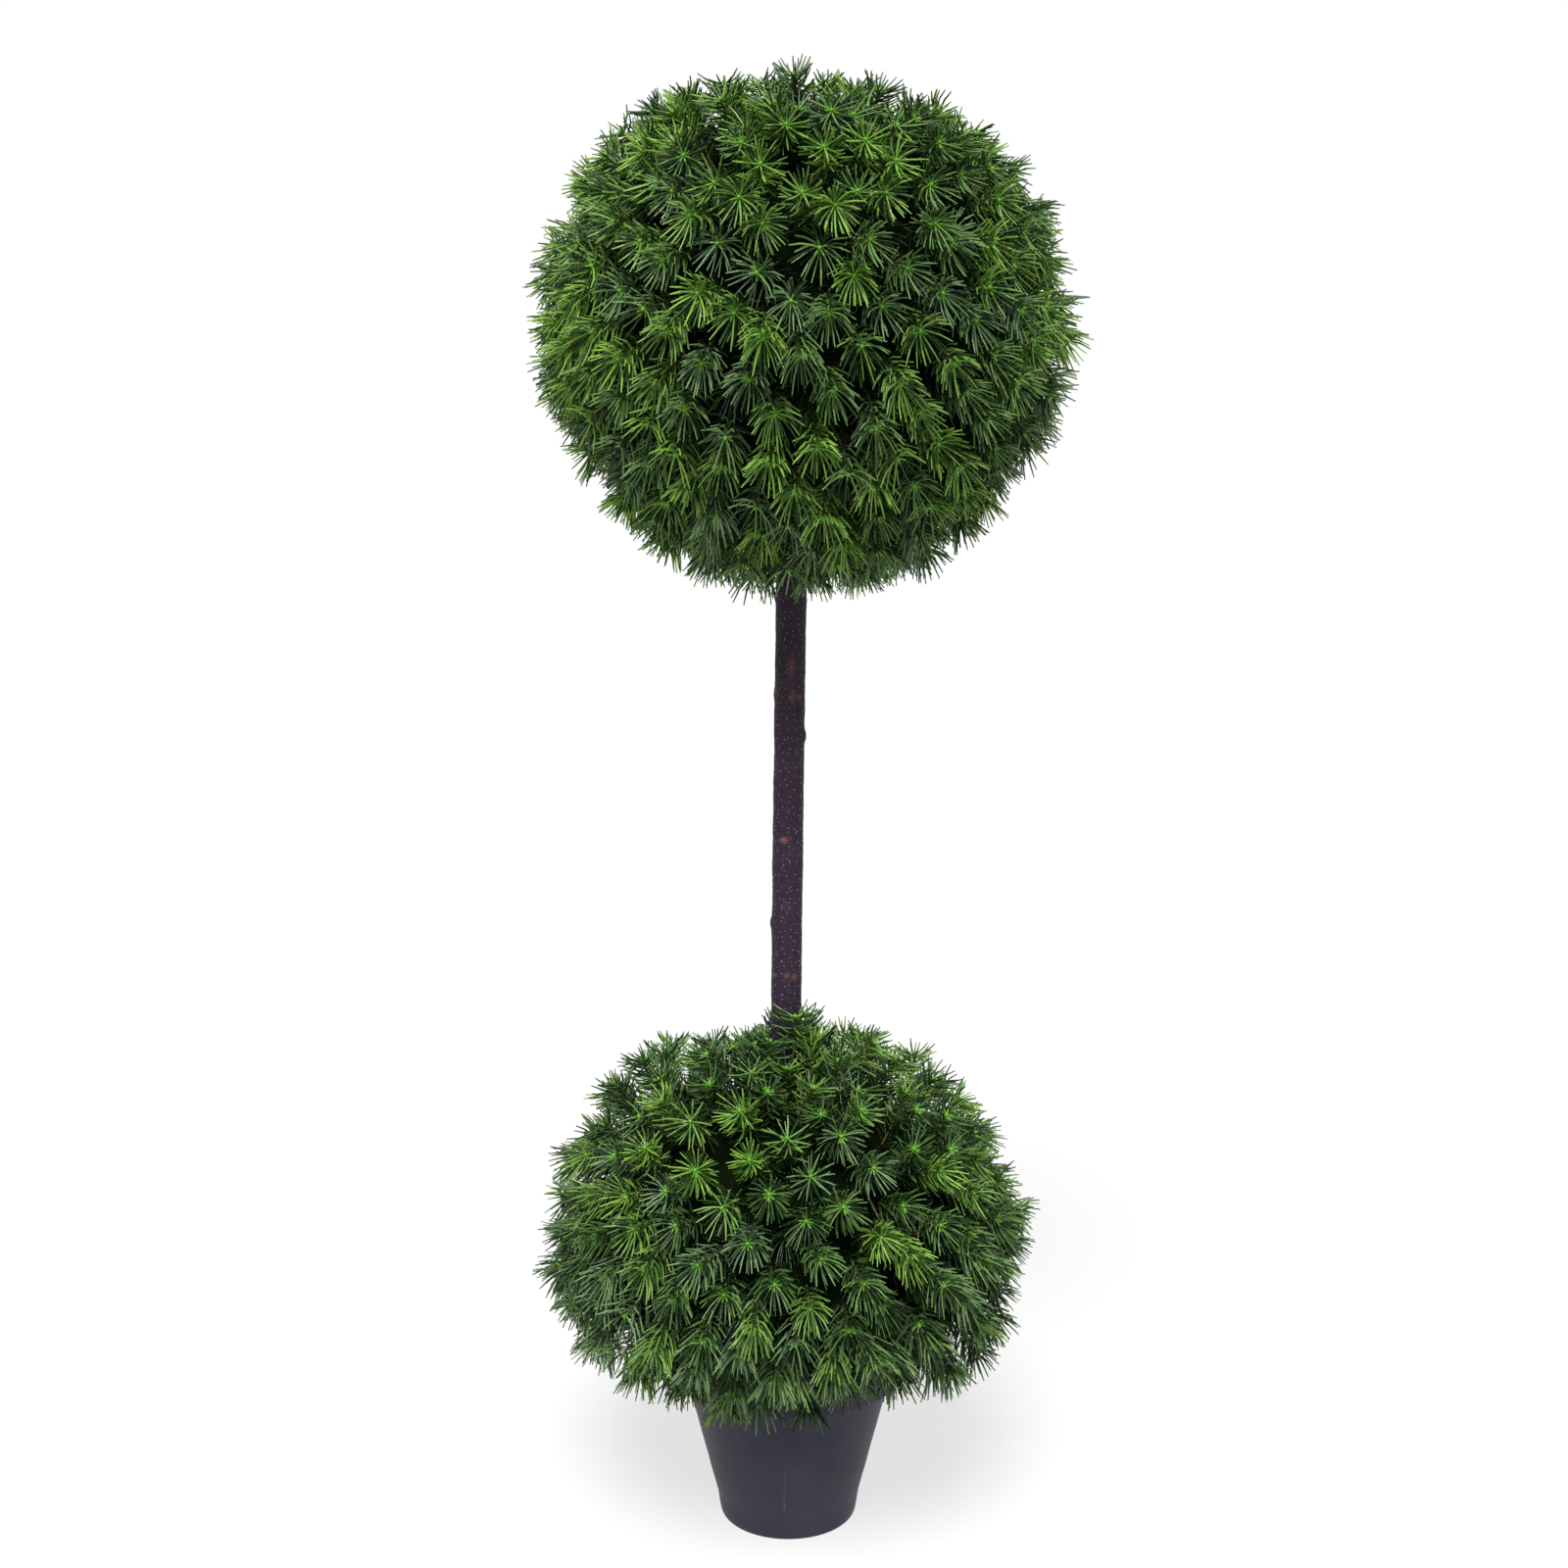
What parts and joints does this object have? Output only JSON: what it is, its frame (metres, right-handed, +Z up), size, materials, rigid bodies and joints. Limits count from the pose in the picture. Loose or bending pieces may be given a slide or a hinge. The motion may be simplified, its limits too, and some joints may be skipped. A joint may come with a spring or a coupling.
{
  "type": "artificial spruce double-ball topiary in a pot",
  "caption": "Artificial spruce topiary: a round needle ball at the top and a flattened one over the pot, on one slim wooden pole in a tapered charcoal plastic pot.",
  "frame": {"origin": "centre of the pot's flat underside", "axes": "+Z up along the pole, from the pot to the upper ball; -Y towards the pictured side; +X to its right"},
  "size_m": [0.4442, 0.4393, 1.1978],
  "materials": {
    "pot_plastic": "matte moulded charcoal polypropylene",
    "pot_cement": "rough cast cement",
    "trunk_bark": "dark purplish brown bark, matte",
    "needles": "moulded polyethylene needles, satin"
  },
  "bodies": {
    "root": {"pot": "pot_plastic", "pot_filling": "pot_cement", "trunk": "trunk_bark", "lower_ball": "needles", "upper_ball": "needles"}
  },
  "joints": []
}
